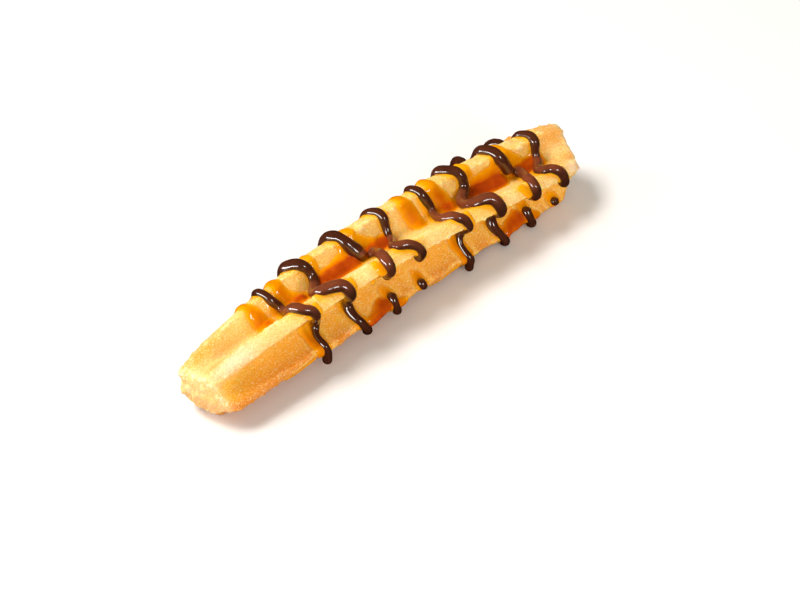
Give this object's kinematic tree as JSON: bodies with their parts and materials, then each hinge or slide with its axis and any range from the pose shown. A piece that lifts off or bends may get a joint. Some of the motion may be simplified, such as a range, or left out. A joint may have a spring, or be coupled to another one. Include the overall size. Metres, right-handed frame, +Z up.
{
  "type": "churro",
  "caption": "Straight ridged stick of fried dough with a slight twist, drizzled across with chocolate strands and caramel sauce.",
  "frame": {"origin": "Middle of the bounding box in X and Y, on the plane the churro rests on (z = 0, its lowest crests).", "axes": "+X along the stick, from its front end to its back end; +Z up; +Y completes the right-handed set, to the side whose upper ridge is the highest."},
  "size_m": [0.1476, 0.0302, 0.0276],
  "materials": {
    "fried_dough": "golden fried dough, satin and finely grained",
    "chocolate": "glossy milk chocolate in thick set strands",
    "caramel": "wet, glossy, see-through amber sauce, redder where it is deep"
  },
  "bodies": {
    "root": {"churro": "fried_dough"}
  },
  "joints": []
}
